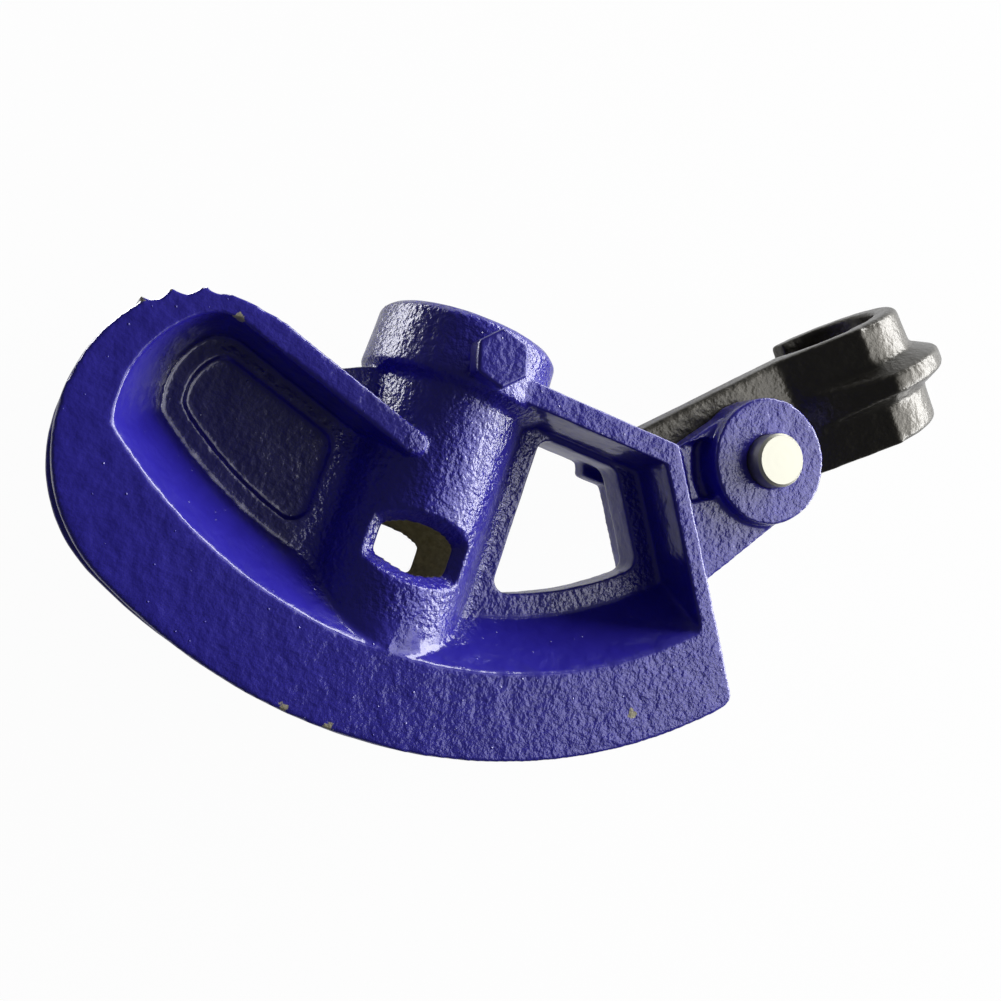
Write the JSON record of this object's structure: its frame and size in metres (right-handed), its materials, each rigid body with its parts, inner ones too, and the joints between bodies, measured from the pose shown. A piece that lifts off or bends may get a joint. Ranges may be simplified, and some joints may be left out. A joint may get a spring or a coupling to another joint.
{
  "type": "manual pipe bender head",
  "caption": "Hand pipe bender head: cast shoe with a grooved bend arc, foot pedal, handle socket and clamp screw, and a hinged hook that holds the pipe.",
  "frame": {"origin": "centre of the handle socket's mouth", "axes": "+Y out of the handle socket's mouth along its axis, +X towards the hook, +Z square to the shoe, on the side of the clamp screw"},
  "size_m": [0.1922, 0.1382, 0.0522],
  "materials": {
    "blue_enamel": "gloss enamel over rough cast iron",
    "black_paint": "gloss black paint over cast iron",
    "bright_steel": "bright turned",
    "screw_enamel": "steel, painted over with the shoe"
  },
  "bodies": {
    "shoe": {"bender_shoe": "blue_enamel", "pivot_pin": "bright_steel"},
    "hook": {"pipe_hook": "black_paint"},
    "screw": {"handle_screw": "screw_enamel"}
  },
  "joints": [
    {"name": "hook_swing", "type": "hinge", "parent": "shoe", "child": "hook", "pos_m": [0.07132, -0.0028, 0], "axis": [0, 0, 1], "range_deg": [-95, 0]},
    {"name": "screw_drive", "type": "slide", "parent": "shoe", "child": "screw", "axis": [0, 0, 1], "range_m": [-0.0012, 0.006]}
  ]
}
